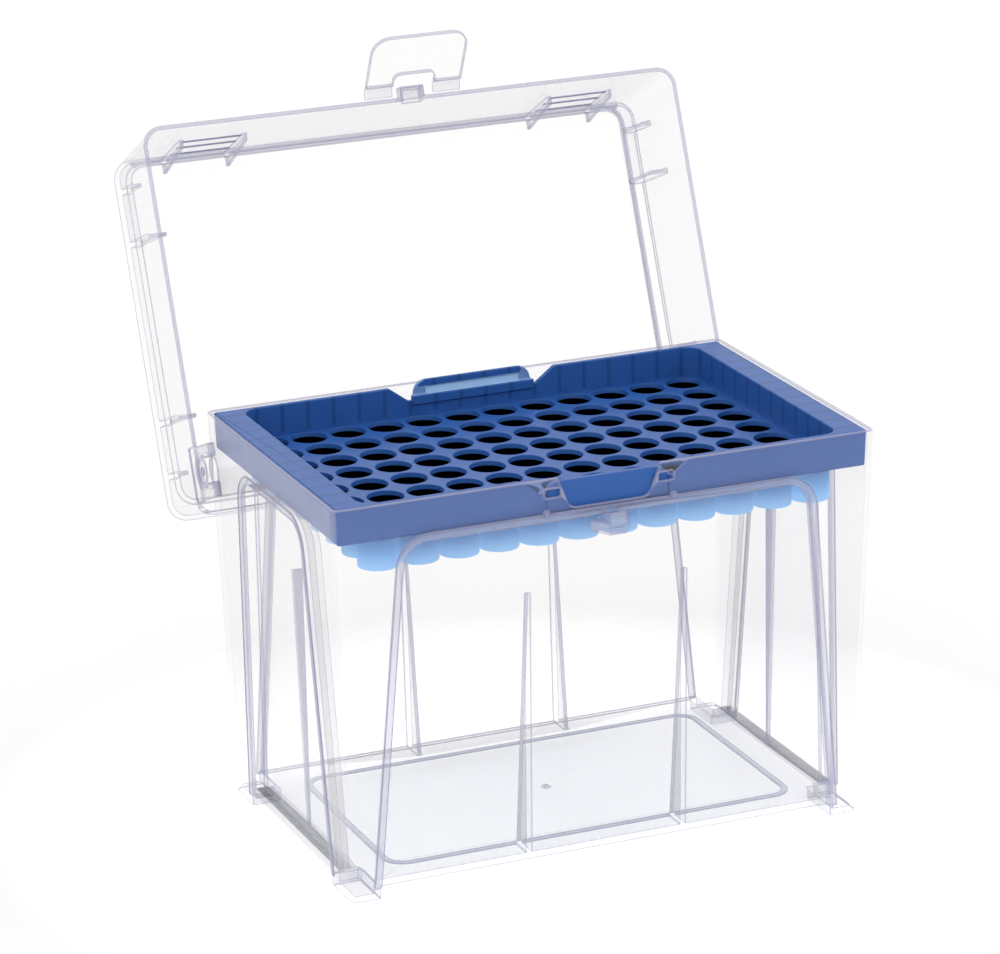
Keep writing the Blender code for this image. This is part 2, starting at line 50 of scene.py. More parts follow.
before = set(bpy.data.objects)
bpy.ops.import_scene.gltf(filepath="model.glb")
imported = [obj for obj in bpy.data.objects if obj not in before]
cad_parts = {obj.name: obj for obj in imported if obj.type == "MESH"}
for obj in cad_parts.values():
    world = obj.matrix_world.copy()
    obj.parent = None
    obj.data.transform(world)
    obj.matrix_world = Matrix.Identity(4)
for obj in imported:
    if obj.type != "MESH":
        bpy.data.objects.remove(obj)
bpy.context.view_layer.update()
BASE_LOW, BASE_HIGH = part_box("base_box")
PLATE_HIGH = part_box("tip_plate")[1]
MIDDLE_Y = (BASE_LOW.y + BASE_HIGH.y) / 2
MM = 0.001

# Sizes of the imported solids, in millimetres
HALF_X = (BASE_HIGH.x - BASE_LOW.x) / 2 / MM
HALF_Y = (BASE_HIGH.y - BASE_LOW.y) / 2 / MM
BASE_TOP = BASE_HIGH.z / MM
PLATE_TOP = PLATE_HIGH.z / MM
TRAY_TOP = BASE_TOP - 0.2
BASE_DRAFT = 0.030
PANEL_TOP = TRAY_TOP - 9.3
PANEL_DRAFT = 0.027
PANEL_SPLAY = 0.085
FOOT = (6.6, 11.4)
FOOT_HEIGHT = 2.6
LONG_RECESS = 1.0
END_RECESS = 3.2
AXIS_Y = HALF_Y - 2.8
AXIS_Z = BASE_TOP - 12.8
CATCH_TOP = BASE_TOP - 8.0
LID_X = HALF_X + 2.4
LID_FRONT = -HALF_Y - 2.55
LID_BACK = HALF_Y + 6.55
LID_BOTTOM = AXIS_Z + 3.0
LID_TOP = LID_BOTTOM + 27.2
LID_STEP = 0.8
LID_END_DRAFT = 0.008
LID_FRONT_DRAFT = 0.136
LID_REAR_DRAFT = 0.017
FLAP_Y = LID_FRONT - 1.5
FLAP_Z = LID_BOTTOM
LID_OPEN = math.radians(111.9)
FLAP_OPEN = math.radians(43.1)

# Smaller features, in millimetres
PANEL_ROUND = 5.0                       # upper corners of the recessed panels
NOTCH_DEPTH = 7.0
NOTCH_HALF = (9.0, 11.8)                # at its bottom and at the rim
PIN_RADIUS = 3.6
PIN_LENGTH = 2.6
PIN_DISH_RADIUS = 2.8
PIN_BUTTON_RADIUS = 0.9
CATCH_HALF = 1.9
TRAY_GAP = 1.4                          # from the base's outer face to the tray's
TRAY_LOW = TRAY_TOP - 8.0
WELL_X = 54.4
WELL_WALL = 1.0
WELL_CORNER = 3.6
PLATE_THICKNESS = 1.2
TUBE_LENGTH = 8.1
DIP_DEPTH = 3.4
DIP_HALF = (15.2, 19.8)                 # at its bottom and at the flange
GRIP_HALF = 14.0
PANE_HALF = 11.2
OUTER_COLUMN = 49.5                     # middle of the outermost tubes
OUTER_ROW = 31.5
SINK_PITCH = 6.0
LID_CORNER = 4.5
LID_PANEL_IN = (2.9, 0.7, 3.4)          # raised panel in from the ends, the front and the back
FORK_PLAY = 0.7                         # from the base's ends to the forks
FORK_FRONT = 5.7
FORK_BACK = 6.2
EYE_RADIUS = 3.95
POCKET_HALF = 2.3
POCKET_WALL = 0.6
FLAP_HALF = 11.5
FLAP_LENGTH = 13.6
FLAP_DROP = 1.6                         # flap's top below its axis
FLAP_HALF_THICK = 0.55
FLAP_SLOT_HALF = 4.8
STRAP_HALF_THICK = 0.175
STRAP_REACH = 1.3                       # above and below the axis

# Plastics, floor and camera
PLASTIC_IOR = 1.49
WALL_LIGHT = 3.6                        # strength of the light through the outermost tubes
TRANSLUCENT_SHARE = 0.80                # of the tubes, below the plate
# Painted light: the floor glows round the box, lifting the shade under and beside it
FLOOR_PAINTED_LIGHT_RADII = (0.055, 0.125)       # the glow fades out between them
CAMERA_SHIFT = (0.00801, 0.00538)       # to the left and down


class TipBoxMoulding(bpy.types.PropertyGroup):
    """Sizes that the clear mouldings share."""
    wall: FloatProperty(name="Wall", description="Thickness of the clear walls",
                        default=1.0, min=0.6, max=1.6)
    edge: FloatProperty(name="Edge", description="Radius of the fine edge rounding, in millimetres",
                        default=0.28, min=0.05, max=0.45)
    corner: FloatProperty(name="Corner", description="Radius of the base's upright corners, in millimetres",
                          default=1.8, min=1.5, max=6.0)
    steps: IntProperty(name="Steps", description="Facets along each large rounding",
                       default=10, min=3, max=24)


class TipBoxTray(bpy.types.PropertyGroup):
    """Sizes of the blue tray."""
    columns: IntProperty(name="Columns", description="Places along the tray", default=12, min=1, max=24)
    rows: IntProperty(name="Rows", description="Places across the tray", default=8, min=1, max=16)
    pitch: FloatProperty(name="Pitch", description="Distance between places, in millimetres",
                         default=9.0, min=4.5)
    hole: FloatProperty(name="Hole", description="Radius of a hole, in millimetres", default=3.95, min=1.0)
    tube_wall: FloatProperty(name="Tube wall", description="Wall of a tube, in millimetres",
                             default=0.38, min=0.2)
    sides: IntProperty(name="Sides", description="Facets round a hole", default=36, min=8, max=64)


class TipBoxFinish(bpy.types.PropertyGroup):
    """Colours of the two plastics."""
    clear: FloatVectorProperty(name="Clear", description="Tint of the clear plastic", subtype="COLOR",
                               default=(0.86, 0.86, 0.90), min=0.0, max=1.0)
    milk: FloatVectorProperty(name="Milk", description="Tint of the clear plastic seen along a wall",
                              subtype="COLOR", default=(0.60, 0.595, 0.64), min=0.0, max=1.0)
    edge_tint: FloatVectorProperty(name="Clear edge", description="Tint of rims and other narrow faces",
                                   subtype="COLOR", default=(0.36, 0.36, 0.52), min=0.0, max=1.0)
    blue: FloatVectorProperty(name="Blue", description="Colour of the tray", subtype="COLOR",
                              default=(0.026, 0.105, 0.370), min=0.0, max=1.0)
    # Painted light: the lower tube ends and the back grip's thin pane are painted in this paler blue, for the
    # light that reaches through and round them
    lit_blue: FloatVectorProperty(name="Light blue", description="Colour of the thin tube ends",
                                    subtype="COLOR", default=(0.40, 0.60, 0.84), min=0.0, max=1.0)
    glow: FloatVectorProperty(name="Glow", description="Colour of light that passes the thin tubes",
                              subtype="COLOR", default=(0.66, 0.84, 0.98), min=0.0, max=1.0)


class TipBoxStage(bpy.types.PropertyGroup):
    """Light, floor and camera."""
    lens: FloatProperty(name="Lens", description="Focal length", default=165.4, min=20.0, subtype="NONE")
    distance: FloatProperty(name="Distance", description="Camera to the tray's middle", default=0.9884,
                            subtype="DISTANCE", unit="LENGTH")
    azimuth: FloatProperty(name="Azimuth", description="Camera's turn to the left of the front",
                           default=math.radians(22.64), subtype="ANGLE", unit="ROTATION")
    elevation: FloatProperty(name="Elevation", description="Camera's height above the tray's plane",
                             default=math.radians(18.24), subtype="ANGLE", unit="ROTATION")
    roll: FloatProperty(name="Roll", description="Camera's roll", default=math.radians(-1.18),
                        subtype="ANGLE", unit="ROTATION")
    floor: FloatVectorProperty(name="Floor", description="Colour of the floor", subtype="COLOR",
                               default=(0.95, 0.94, 0.93), min=0.0, max=1.0)
    # Painted light: the floor's glow round the box lifts the shade under and beside it, though the floor is
    # no lamp
    glow: FloatProperty(name="Glow", description="Light that the floor gives off, as a light table does",
                        default=0.50, min=0.0)
    world: FloatProperty(name="Surround", description="Strength of the white surround", default=1.0, min=0.0)
    key: FloatProperty(name="Key", description="Power of the large soft light", default=1.6, min=0.0)


# Mesh helpers

def new_object(name, bm):
    mesh = bpy.data.meshes.new(name)
    bm.to_mesh(mesh)
    bm.free()
    made = bpy.data.objects.new(name, mesh)
    bpy.context.scene.collection.objects.link(made)
    return made


def block(name, place, rounded=None, radius=0.0, steps=6):
    """A cube whose corner (sx, sy, sz), each -1 or 1, goes to place(sx, sy, sz), with chosen edges
    rounded.
    """
    bm = bmesh.new()
    bmesh.ops.create_cube(bm, size=2.0)
    signs = {v: tuple(int(round(c)) for c in v.co) for v in bm.verts}
    edges = [e for e in bm.edges if rounded and rounded(signs[e.verts[0]], signs[e.verts[1]])]
    for corner, sign in signs.items():
        corner.co = Vector(place(*sign))
    if edges:
        bmesh.ops.bevel(bm, geom=edges, offset=radius, segments=steps, profile=0.5, affect="EDGES")
    bmesh.ops.recalc_face_normals(bm, faces=bm.faces)
    return new_object(name, bm)


def box(name, low, high, rounded=None, radius=0.0, steps=6):
    def place(sx, sy, sz):
        return [high[i] if s > 0 else low[i] for i, s in enumerate((sx, sy, sz))]
    return block(name, place, rounded, radius, steps)


def upright(one, other):
    return one[:2] == other[:2]


def top_along_y(one, other):
    return one[0] == other[0] and one[2] == other[2] == 1


def top_along_x(one, other):
    return one[1] == other[1] and one[2] == other[2] == 1


def bottom_along_y(one, other):
    return one[0] == other[0] and one[2] == other[2] == -1


def cylinder_x(name, centre_y, centre_z, low_x, high_x, radius, sides=40):
    bm = bmesh.new()
    middle = Matrix.Translation(((low_x + high_x) / 2, centre_y, centre_z))
    turn = middle @ Matrix.Rotation(math.pi / 2, 4, "Y")
    bmesh.ops.create_cone(bm, cap_ends=True, segments=sides, radius1=radius, radius2=radius,
                          depth=high_x - low_x, matrix=turn)
    return new_object(name, bm)


def combine(target, operation, tools):
    """Unites the tools with the target, or takes them away, and removes them."""
    for tool in tools:
        modifier = target.modifiers.new("Combine", "BOOLEAN")
        modifier.operation = operation
        modifier.object = tool
        modifier.solver = "EXACT"
    settle(target)
    for tool in tools:
        bpy.data.objects.remove(tool, do_unlink=True)
    return target


def cut(target, *tools):
    return combine(target, "DIFFERENCE", tools)


def join(target, *tools):
    return combine(target, "UNION", tools)


def settle(made):
    """Turns the evaluated shape into the object's own mesh."""
    bpy.context.view_layer.update()
    evaluated = made.evaluated_get(bpy.context.evaluated_depsgraph_get())
    mesh = bpy.data.meshes.new_from_object(evaluated)
    made.modifiers.clear()
    made.data = mesh
    return made


def soften(made, width, segments=2, angle=32.0):
    """Rounds the sharp edges a little, shades the flats flat, and marks the narrow faces."""
    bm = bmesh.new()
    bm.from_mesh(made.data)
    bmesh.ops.remove_doubles(bm, verts=bm.verts, dist=0.004)
    bm.to_mesh(made.data)
    bm.free()
    bevel = made.modifiers.new("Edges", "BEVEL")
    bevel.width = width
    bevel.segments = segments
    bevel.limit_method = "ANGLE"
    bevel.angle_limit = math.radians(angle)
    bevel.use_clamp_overlap = False
    bevel.miter_outer = "MITER_ARC"
    settle(made)
    made.data.shade_smooth()
    made.data.set_sharp_from_angle(angle=math.radians(50))
    even = made.modifiers.new("Even", "WEIGHTED_NORMAL")
    even.keep_sharp = True
    even.weight = 60
    settle(made)
    mark_narrow(made)
    return made


def mark_narrow(made):
    """Writes an attribute from 0 on broad faces to 1 on narrow ones beside a real edge, such as rims
    and roundings, and on faces with many corners.
    """
    bm = bmesh.new()
    bm.from_mesh(made.data)
    values = []
    for face in bm.faces:
        length = sum(edge.calc_length() for edge in face.edges)
        width = 2.0 * face.calc_area() / max(length, 1e-6)
        bent = any(edge.calc_length() > 0.18 * length and edge.calc_face_angle(0.0) > 0.35
                   for edge in face.edges)
        bent = bent or len(face.verts) > 16
        values.append(max(0.0, min(1.0, (2.4 - width) / 1.6)) if bent else 0.0)
    bm.free()
    attribute = made.data.attributes.new("narrow", "FLOAT", "FACE")
    attribute.data.foreach_set("value", values)


def mark_thin(made, well_y):
    """Writes an attribute that is 1 on the thin pane of the back grip, less on its ends, and 0 elsewhere."""
    values = []
    for face in made.data.polygons:
        x, y, z = face.center
        on_grip = y > well_y and z > TRAY_TOP - 2.3
        pane = on_grip and abs(x) < 11.3 and z < TRAY_TOP - 0.5
        values.append(1.0 if pane else 0.35 if on_grip and 11.3 <= abs(x) < 14.2 else 0.0)
    attribute = made.data.attributes.new("thin", "FLOAT", "FACE")
    attribute.data.foreach_set("value", values)


def turned(angle, y, z):
    centre = Matrix.Translation((0, y, z))
    return centre @ Matrix.Rotation(angle, 4, "X") @ centre.inverted()


def place(made, body, nodes, finish, turn=Matrix.Identity(4), slot="clear"):
    """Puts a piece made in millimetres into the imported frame, and lets it ride on its body."""
    frame = Matrix.Translation((0, MIDDLE_Y, 0)) @ Matrix.Scale(MM, 4) @ turn
    made.data.transform(frame)
    made.data.update()
    made.data.materials.clear()
    made.data.materials.append(finish)
    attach(made, body)
    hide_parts(*nodes)
    return made


def opened_lid():
    return turned(-LID_OPEN, AXIS_Y, AXIS_Z)


# Plastics

def add_node(tree, kind, x=0, **values):
    node = tree.nodes.new(kind)
    node.location = (x, 0)
    for name, value in values.items():
        setattr(node, name, value)
    return node


def fine_surface(tree, shader, scale, depth, roughness, spread):
    """Slight unevenness of a moulded surface, in its relief and in its gloss."""
    coordinates = add_node(tree, "ShaderNodeTexCoord", -900)
    noise = add_node(tree, "ShaderNodeTexNoise", -700)
    noise.inputs["Scale"].default_value = scale
    noise.inputs["Detail"].default_value = 3.0
    tree.links.new(coordinates.outputs["Object"], noise.inputs["Vector"])
    gloss = add_node(tree, "ShaderNodeMapRange", -400)
    gloss.inputs["To Min"].default_value = roughness - spread
    gloss.inputs["To Max"].default_value = roughness + spread
    tree.links.new(noise.outputs["Fac"], gloss.inputs["Value"])
    tree.links.new(gloss.outputs["Result"], shader.inputs["Roughness"])
    bump = add_node(tree, "ShaderNodeBump", -300)
    bump.inputs["Strength"].default_value = 0.25
    bump.inputs["Distance"].default_value = depth
    tree.links.new(noise.outputs["Fac"], bump.inputs["Height"])
    tree.links.new(bump.outputs["Normal"], shader.inputs["Normal"])
    return coordinates


def add_range(tree, value, start, end, first, last):
    """Maps a value from between start and end to between first and last, and holds it outside."""
    made = add_node(tree, "ShaderNodeMapRange", -500)
    for name, number in (("From Min", start), ("From Max", end), ("To Min", first), ("To Max", last)):
        made.inputs[name].default_value = number
    tree.links.new(value, made.inputs["Value"])
    return made.outputs["Result"]


def math_node(tree, operation, a, b=None):
    made = add_node(tree, "ShaderNodeMath", -1300, operation=operation)
    for index, value in enumerate((a, b)):
        if isinstance(value, (int, float)):
            made.inputs[index].default_value = value
        elif value is not None:
            tree.links.new(value, made.inputs[index])
    return made.outputs[0]


def new_plastic(name):
    made = bpy.data.materials.get(name)
    if made:
        return made, None, None
    made = bpy.data.materials.new(name)
    made.use_nodes = True
    shader = made.node_tree.nodes["Principled BSDF"]
    return made, made.node_tree, shader


def clear_plastic(settings):
    """Clear polypropylene: see-through face on, milky along a wall, and violet on rims and other
    narrow faces.
    """
    made, tree, shader = new_plastic("clear_polypropylene")
    if tree is None:
        return made
    link = tree.links.new
    facing = add_node(tree, "ShaderNodeLayerWeight", -1100)
    facing.inputs["Blend"].default_value = 0.35
    bent = add_node(tree, "ShaderNodeMath", -900, operation="POWER")
    bent.inputs[1].default_value = 2.2
    link(facing.outputs["Facing"], bent.inputs[0])
    narrow = add_node(tree, "ShaderNodeAttribute", -1100, attribute_name="narrow")
    milk = add_node(tree, "ShaderNodeMix", -700, data_type="RGBA")
    milk.inputs["A"].default_value = (*settings.clear, 1.0)
    milk.inputs["B"].default_value = (*settings.milk, 1.0)
    link(bent.outputs[0], milk.inputs["Factor"])
    tint = add_node(tree, "ShaderNodeMix", -400, data_type="RGBA")
    tint.inputs["B"].default_value = (*settings.edge_tint, 1.0)
    link(milk.outputs["Result"], tint.inputs["A"])
    link(narrow.outputs["Fac"], tint.inputs["Factor"])
    link(tint.outputs["Result"], shader.inputs["Base Color"])
    broad = add_node(tree, "ShaderNodeMapRange", -700)
    broad.inputs["To Min"].default_value = 0.042
    broad.inputs["To Max"].default_value = 0.55
    link(bent.outputs[0], broad.inputs["Value"])
    thick = add_node(tree, "ShaderNodeMath", -700, operation="MULTIPLY")
    thick.inputs[1].default_value = 0.56
    link(narrow.outputs["Fac"], thick.inputs[0])
    share = add_node(tree, "ShaderNodeMath", -400, operation="MAXIMUM")
    link(broad.outputs["Result"], share.inputs[0])
    link(thick.outputs[0], share.inputs[1])
    link(share.outputs[0], shader.inputs["Alpha"])
    shader.inputs["IOR"].default_value = PLASTIC_IOR
    fine_surface(tree, shader, 60.0, 0.00004, 0.12, 0.04)
    return made


def sink_mark_shade(tree, coordinates):
    """Faint lines every 6 mm, where the ribs behind the tray's walls drew the surface in, for the painted
    shade that shows these shallow dents: 1 on a line and 0 elsewhere.
    """
    link = tree.links.new
    split = add_node(tree, "ShaderNodeSeparateXYZ", -1500)
    link(coordinates.outputs["Object"], split.inputs["Vector"])

    def step(operation, a, b=None):
        return math_node(tree, operation, a, b)

    x, y, z = (split.outputs[axis] for axis in "XYZ")
    at_end = step("GREATER_THAN", step("ABSOLUTE", x), 54.1 * MM)
    on_end = step("MULTIPLY", y, at_end)
    along = step("ADD", on_end, step("MULTIPLY", x, step("SUBTRACT", 1.0, at_end)))
    cycle = step("FRACT", step("DIVIDE", along, SINK_PITCH * MM))
    phase = step("ABSOLUTE", step("SUBTRACT", cycle, 0.5))
    line = add_node(tree, "ShaderNodeMapRange", -1100, interpolation_type="SMOOTHSTEP")
    line.inputs["From Min"].default_value = 0.12
    line.inputs["From Max"].default_value = 0.02
    link(phase, line.inputs["Value"])
    above = step("GREATER_THAN", z, (PLATE_TOP + 0.6) * MM)
    behind = step("GREATER_THAN", y, MIDDLE_Y - (HALF_Y - 4.0) * MM)
    return step("MULTIPLY", step("MULTIPLY", line.outputs["Result"], above), behind), split


def lit_walls(tree, coordinates, split):
    """Light that comes through the outermost tubes' outward walls, seen on their inner faces, and 0
    elsewhere.
    """
    facing = add_node(tree, "ShaderNodeSeparateXYZ", -1500)
    tree.links.new(coordinates.outputs["Normal"], facing.inputs["Vector"])

    def step(operation, a, b=None):
        return math_node(tree, operation, a, b)

    parts = []
    for axis, middle, row in (("X", 0.0, OUTER_COLUMN * MM), ("Y", MIDDLE_Y, OUTER_ROW * MM)):
        offset = step("SUBTRACT", split.outputs[axis], middle)
        side = step("SIGN", offset)
        beyond = step("GREATER_THAN", step("ABSOLUTE", offset), row)
        inward = step("MULTIPLY", step("MULTIPLY", facing.outputs[axis], side), -1.0)
        parts.append(step("MULTIPLY", beyond, step("MAXIMUM", inward, 0.0)))
    return step("MULTIPLY", step("MAXIMUM", *parts), WALL_LIGHT)


def blue_plastic(settings):
    """Blue polypropylene: deep where it is thick, with painted shade along the faint sink marks, and
    translucent in the tubes; painted light makes the tubes' lower ends and the back grip's thin pane pale.
    """
    made, tree, shader = new_plastic("blue_polypropylene")
    if tree is None:
        return made
    link = tree.links.new
    coordinates = fine_surface(tree, shader, 220.0, 0.00003, 0.32, 0.06)
    marks, split = sink_mark_shade(tree, coordinates)
    # Painted shade: the blue is darker along the sink marks
    deep = add_node(tree, "ShaderNodeMix", -700, data_type="RGBA")
    deep.inputs["A"].default_value = (*settings.blue, 1.0)
    deep.inputs["B"].default_value = (*[0.72 * c for c in settings.blue], 1.0)
    link(marks, deep.inputs["Factor"])
    # Painted light: paler towards the bottom, from 4 mm to 7.6 mm below the plate's top, and on the back
    # grip's thin pane
    low = add_range(tree, split.outputs["Z"], (PLATE_TOP - 7.6) * MM, (PLATE_TOP - 4.0) * MM, 1.0, 0.0)
    thin = add_node(tree, "ShaderNodeAttribute", -700, attribute_name="thin")
    pale = add_node(tree, "ShaderNodeMath", -500, operation="MAXIMUM")
    link(low, pale.inputs[0])
    link(thin.outputs["Fac"], pale.inputs[1])
    tint = add_node(tree, "ShaderNodeMix", -300, data_type="RGBA")
    tint.inputs["B"].default_value = (*settings.lit_blue, 1.0)
    link(deep.outputs["Result"], tint.inputs["A"])
    link(pale.outputs[0], tint.inputs["Factor"])
    link(tint.outputs["Result"], shader.inputs["Base Color"])
    shader.inputs["IOR"].default_value = PLASTIC_IOR
    shader.inputs["Specular IOR Level"].default_value = 0.28
    glow = add_node(tree, "ShaderNodeBsdfTranslucent", -100)
    glow.inputs["Color"].default_value = (*settings.glow, 1.0)
    below = add_range(tree, split.outputs["Z"], (PLATE_TOP - 1.4) * MM, (PLATE_TOP - 1.25) * MM,
                      1.0, 0.0)
    outward = lit_walls(tree, coordinates, split)
    light = add_node(tree, "ShaderNodeMath", -300, operation="MULTIPLY")
    link(below, light.inputs[0])
    link(outward, light.inputs[1])
    shader.inputs["Emission Color"].default_value = (*settings.glow, 1.0)
    link(light.outputs[0], shader.inputs["Emission Strength"])
    share = add_node(tree, "ShaderNodeMath", -100, operation="MULTIPLY")
    share.inputs[1].default_value = TRANSLUCENT_SHARE
    link(below, share.inputs[0])
    wall = add_node(tree, "ShaderNodeMixShader", 100)
    link(share.outputs[0], wall.inputs["Fac"])
    link(shader.outputs["BSDF"], wall.inputs[1])
    link(glow.outputs["BSDF"], wall.inputs[2])
    output = next(node for node in tree.nodes if node.type == "OUTPUT_MATERIAL")
    link(wall.outputs["Shader"], output.inputs["Surface"])
    return made


# Clear base

def base_half(half, z):
    return half - BASE_DRAFT * (BASE_TOP - z)


def panel_half(half, recess, z):
    return base_half(half, PANEL_TOP) - recess - PANEL_DRAFT * (PANEL_TOP - z)


def base_form(name, inset, top, corner, steps):
    """The base's outer form, or with an inset the space inside its walls."""
    def corner_at(sx, sy, sz):
        z = top if sz > 0 else inset
        return (sx * (base_half(HALF_X, z) - inset), sy * (base_half(HALF_Y, z) - inset), z)

    form = block(name, corner_at, upright, corner - inset, steps)
    foot_x = base_half(HALF_X, 0) - FOOT[0]
    foot_y = base_half(HALF_Y, 0) - FOOT[1]
    high = PANEL_TOP + inset
    tools = []
    for side in (-1, 1):
        def long_at(sx, sy, sz, side=side):
            z = high if sz > 0 else -2.0
            far = HALF_Y + 2 if sy * side > 0 else panel_half(HALF_Y, LONG_RECESS, z) - inset
            return (sx * (foot_x + inset - PANEL_SPLAY * z), side * far, z)

        def end_at(sx, sy, sz, side=side):
            z = high if sz > 0 else -2.0
            far = HALF_X + 2 if sx * side > 0 else panel_half(HALF_X, END_RECESS, z) - inset
            return (side * far, sy * (foot_y + inset - PANEL_SPLAY * z), z)

        tools.append(block("long", long_at, top_along_y, PANEL_ROUND + inset, steps))
        tools.append(block("end", end_at, top_along_x, PANEL_ROUND + inset, steps))
    far = HALF_X + 2
    tools.append(box("under", (-foot_x - inset, -far, -2), (foot_x + inset, far, FOOT_HEIGHT + inset)))
    tools.append(box("under", (-far, -foot_y - inset, -2), (far, foot_y + inset, FOOT_HEIGHT + inset)))
    return cut(form, *tools)


def base_ribs(wall):
    """Upright gussets on the long walls and slim ribs on the end walls."""
    floor, top = FOOT_HEIGHT + wall, BASE_TOP - 25.2
    made = []
    for side in (-1, 1):
        for x in (-18.0, 18.0):
            def at(sx, sy, sz, side=side, x=x):
                z = top if sz > 0 else floor - 0.5
                face = panel_half(HALF_Y, LONG_RECESS, z) - wall
                free = face - (1.0 if sz > 0 else 6.3)
                return (x + sx * 0.5, side * (face + 0.5 if sy * side > 0 else free), z)
            made.append(block("gusset", at))

        def end_at(sx, sy, sz, side=side):
            z = top if sz > 0 else floor - 0.5
            face = panel_half(HALF_X, END_RECESS, z) - wall
            free = panel_half(HALF_X, END_RECESS, top) - wall - 2.2
            return (side * (face + 0.5 if sx * side > 0 else free), sy * 0.5, z)
        made.append(block("end_rib", end_at))
    return made


def notch():
    """The finger notch in the rim of the front wall."""
    def at(sx, sy, sz):
        low, high = NOTCH_HALF
        half = high + (high - low) * 2 / NOTCH_DEPTH if sz > 0 else low
        return (sx * half, -HALF_Y - 2 if sy < 0 else -HALF_Y + 3.0,
                BASE_TOP + 2 if sz > 0 else BASE_TOP - NOTCH_DEPTH)
    return block("notch", at, bottom_along_y, 1.6, 5)


def catch_shapes():
    root = -base_half(HALF_Y, CATCH_TOP) + 0.5
    nose = -base_half(HALF_Y, CATCH_TOP) - 4.2
    neck = CATCH_TOP - 2.4

    def at(sx, sy, sz):
        return (sx * (CATCH_HALF if sy < 0 else 4.5), nose if sy < 0 else root,
                neck if sz > 0 else CATCH_TOP - 5.0)

    return [block("catch", at),
            box("catch_neck", (-CATCH_HALF, nose, neck - 1.2), (CATCH_HALF, root, CATCH_TOP))]


def arch_band(along_x, side, steps):
    """The raised bead round the edge of a recessed panel."""
    half, other = (HALF_Y, HALF_X) if along_x else (HALF_X, HALF_Y)
    foot = base_half(other, 0) - (FOOT[0] if along_x else FOOT[1])

    def shape(grow, low_out, high_out, bottom):
        def at(sx, sy, sz):
            z = PANEL_TOP + grow if sz > 0 else bottom
            wide, deep = (sx, sy) if along_x else (sy, sx)
            across = wide * (foot + grow - PANEL_SPLAY * z)
            out = side * (base_half(half, z) + (high_out if deep * side > 0 else low_out))
            return (across, out, z) if along_x else (out, across, z)
        rounded = top_along_y if along_x else top_along_x
        return block("arch", at, rounded, PANEL_ROUND + grow, steps)

    return cut(shape(1.7, -0.5, 0.22, FOOT_HEIGHT), shape(0.0, -3.0, 3.0, -2.0))


def floor_frame():
    """The low raised line on the floor, and the small gate mark in its middle."""
    floor = FOOT_HEIGHT + 1.0
    outer = box("line", (-47.6, -28.6, floor - 0.5), (47.6, 25.6, floor + 0.35), upright, 5.0, 8)
    inner = box("line_inside", (-46.4, -27.4, floor - 2.0), (46.4, 24.4, floor + 2.0), upright, 3.8, 8)
    bm = bmesh.new()
    bmesh.ops.create_cone(bm, cap_ends=True, segments=24, radius1=1.1, radius2=0.7, depth=1.0,
                          matrix=Matrix.Translation((0.0, -1.5, floor)))
    return [cut(outer, inner), new_object("gate", bm)]


class TIPBOX_OT_base(bpy.types.Operator):
    """Make the clear base with its feet, panels, ribs, notch, hinge pins and catch"""
    bl_idname = "tipbox.base"
    bl_label = "Clear Base"

    def execute(self, context):
        moulding = context.scene.tipbox_moulding
        wall = moulding.wall
        base = base_form("clear_base", 0.0, BASE_TOP, moulding.corner, moulding.steps)
        inside = base_form("inside", wall, BASE_TOP + 2.0, moulding.corner, moulding.steps)
        windows = []
        for side in (-1, 1):
            x, z = side * 12.9, BASE_TOP - 3.3
            windows.append(box("window", (x - 1.7, -HALF_Y - 2, z - 0.9),
                               (x + 1.7, -HALF_Y + 3, z + 0.9)))
        cut(base, inside, notch(), *windows)
        extra = base_ribs(wall) + catch_shapes() + floor_frame()
        extra += [arch_band(along_x, side, 10) for along_x in (True, False) for side in (-1, 1)]
        for side in (-1, 1):
            start = base_half(HALF_X, AXIS_Z) - 0.5
            tip = base_half(HALF_X, AXIS_Z + PIN_RADIUS) + PIN_LENGTH
            extra.append(cylinder_x("pin", AXIS_Y, AXIS_Z, *sorted((side * start, side * tip)),
                                    PIN_RADIUS))
            dish = sorted((side * (tip - 0.4), side * (tip + 1.0)))
            ring = cylinder_x("dish", AXIS_Y, AXIS_Z, *dish, PIN_DISH_RADIUS)
            raised = sorted((side * (tip - 0.6), side * (tip - 0.1)))
            button = cylinder_x("button", AXIS_Y, AXIS_Z, *raised, PIN_BUTTON_RADIUS, 24)
            cut(extra[-1], ring)
            extra.append(button)
            extra.append(box("bump", (side * 14.5 - 0.6, -HALF_Y - 0.35, 79.6),
                             (side * 14.5 + 0.6, -HALF_Y + 0.5, 80.9)))
        join(base, *extra)
        soften(base, moulding.edge)
        place(base, "base", nodes=("base_box", "hinge_pin_left", "hinge_pin_right", "latch_catch"),
              finish=clear_plastic(context.scene.tipbox_finish))
        return {"FINISHED"}


# Blue tray

def tray_half(half, z):
    return base_half(half, z) - TRAY_GAP


def well_half_y():
    return tray_half(HALF_Y, TRAY_LOW) - WELL_WALL


